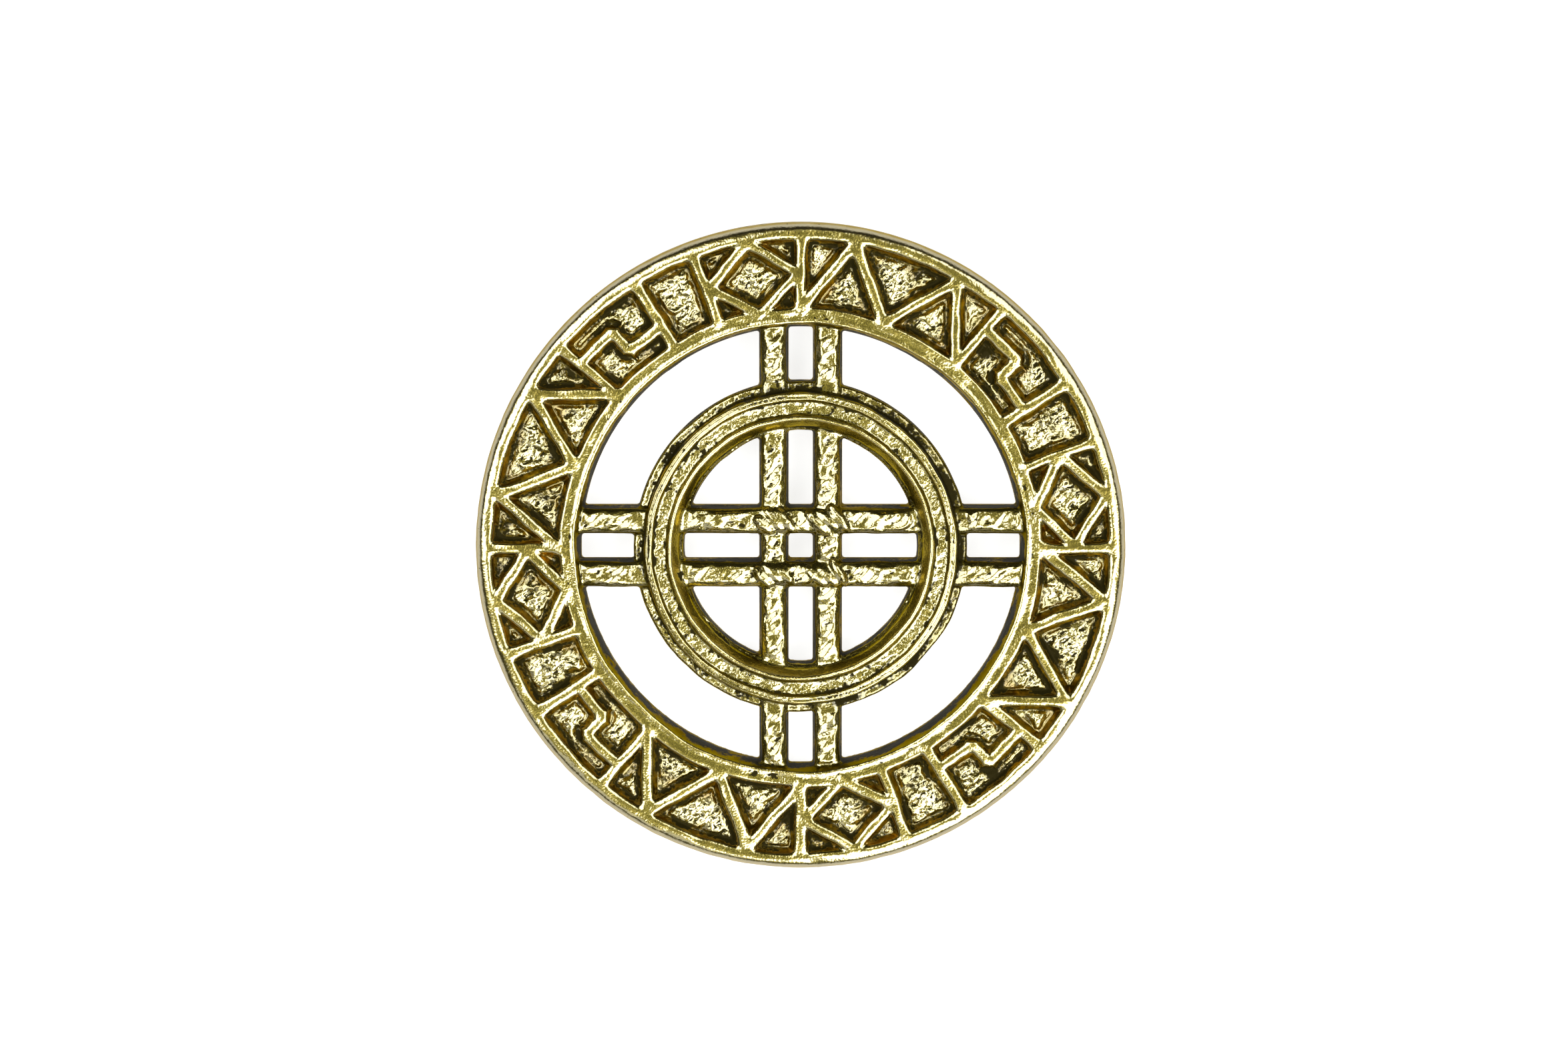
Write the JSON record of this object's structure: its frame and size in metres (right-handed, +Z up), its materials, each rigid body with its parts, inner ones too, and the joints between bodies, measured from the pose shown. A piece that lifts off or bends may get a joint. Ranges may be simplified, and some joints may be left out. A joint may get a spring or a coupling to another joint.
{
  "type": "pin brooch",
  "caption": "Round openwork pin brooch: a flat band with a raised angular fret, tied by crossing bars to a grooved inner ring, with a plain pin on its back.",
  "frame": {"origin": "bottom centre of the bounding box, on the surface that the brooch rests on", "axes": "+Z up from the surface; the brooch lies face up, its lower edge towards -Y and its pin under the upper edge, towards +Y, so its face tilts 4.3 degrees towards -Y; +X is to the right of one who looks at the face"},
  "size_m": [0.04, 0.04, 0.0052],
  "materials": {
    "antique_gilt": "bright gilt casting with hammered floors and bar tops, and brown-black patina left in the recesses",
    "gilt_pin": "plain satin gilt wire and sheet"
  },
  "bodies": {
    "root": {"cast_wheel": "antique_gilt", "brooch_pin": "gilt_pin"}
  },
  "joints": []
}
